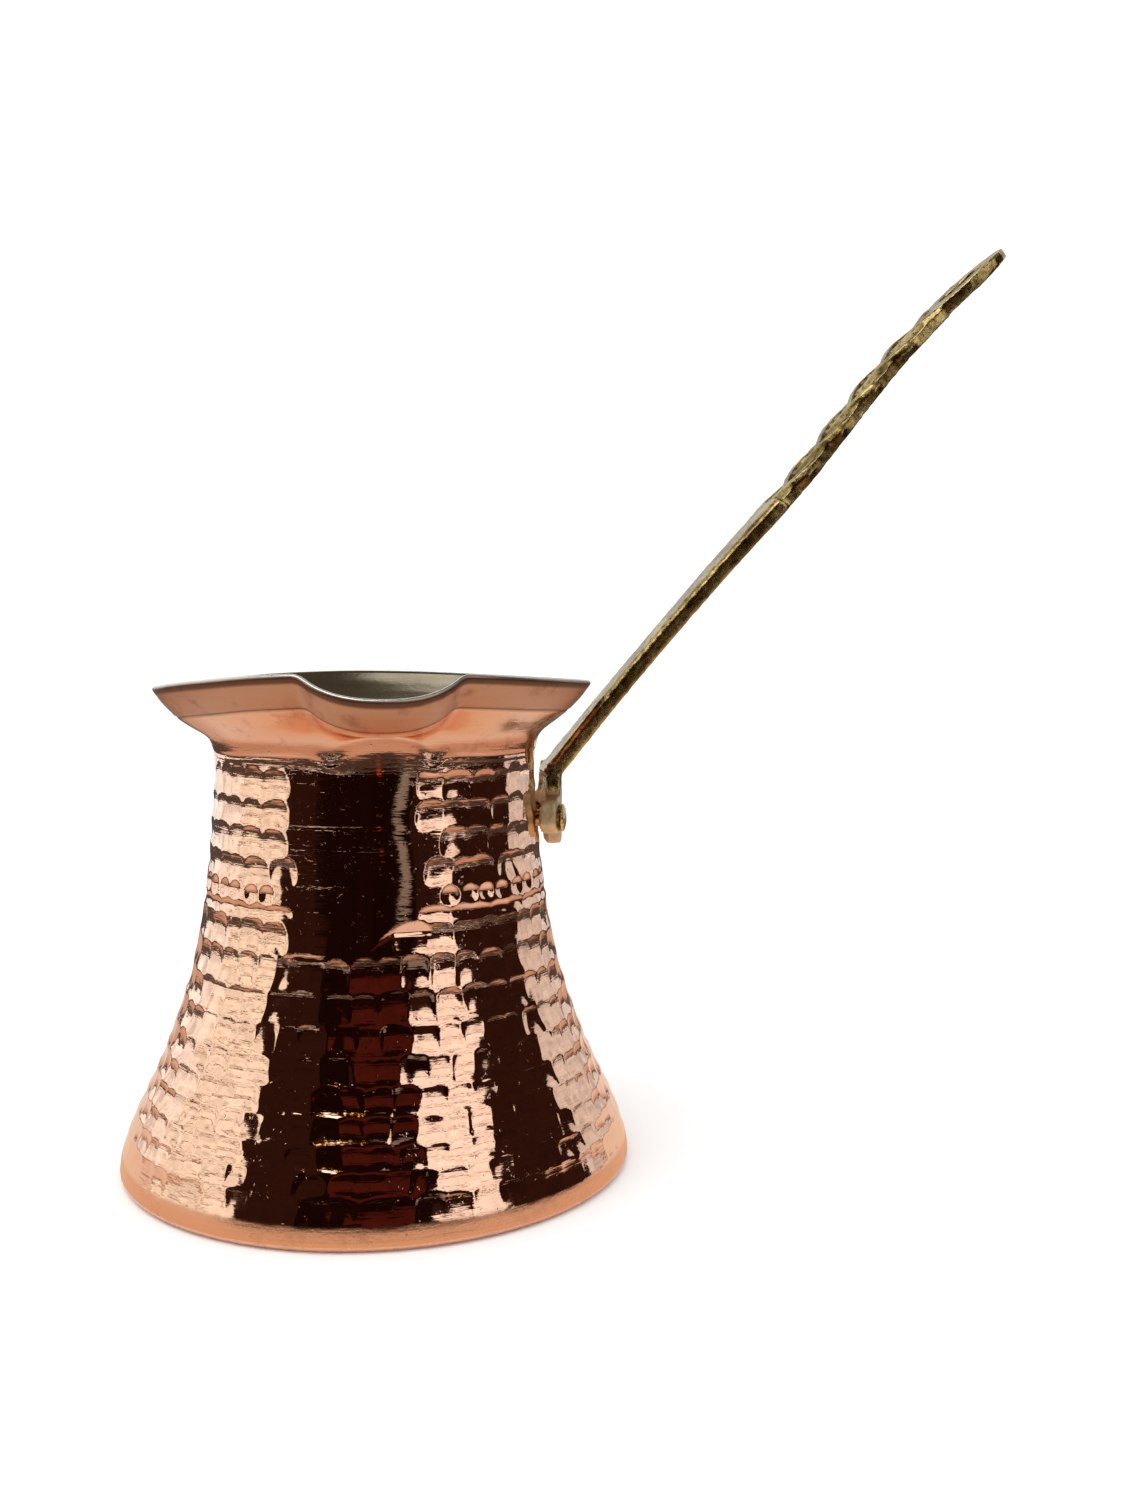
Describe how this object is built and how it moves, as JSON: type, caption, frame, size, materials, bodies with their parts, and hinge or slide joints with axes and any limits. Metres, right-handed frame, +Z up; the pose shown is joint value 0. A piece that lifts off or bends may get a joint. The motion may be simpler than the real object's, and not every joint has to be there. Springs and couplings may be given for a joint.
{
  "type": "coffee pot",
  "caption": "Waisted hammered copper pot with a flared rim, pinched pouring lip and tinned inside, and a long slanted brass handle with a plaited grip and a hanging eye, for boiling coffee.",
  "frame": {"origin": "centre of the flat base, on the surface the pot stands on", "axes": "+Z up along the pot's axis; +X towards the handle; -Y towards the pouring lip"},
  "size_m": [0.166, 0.0932, 0.1709],
  "materials": {
    "copper": "hammered and polished",
    "tin": "wiped tin, satin",
    "cast_brass": "sand cast, edges polished",
    "rivet_brass": "peened"
  },
  "bodies": {
    "root": {"pot_body": "copper", "tin_lining": "tin", "handle": "cast_brass", "rivet_front": "rivet_brass", "rivet_back": "rivet_brass"}
  },
  "joints": []
}
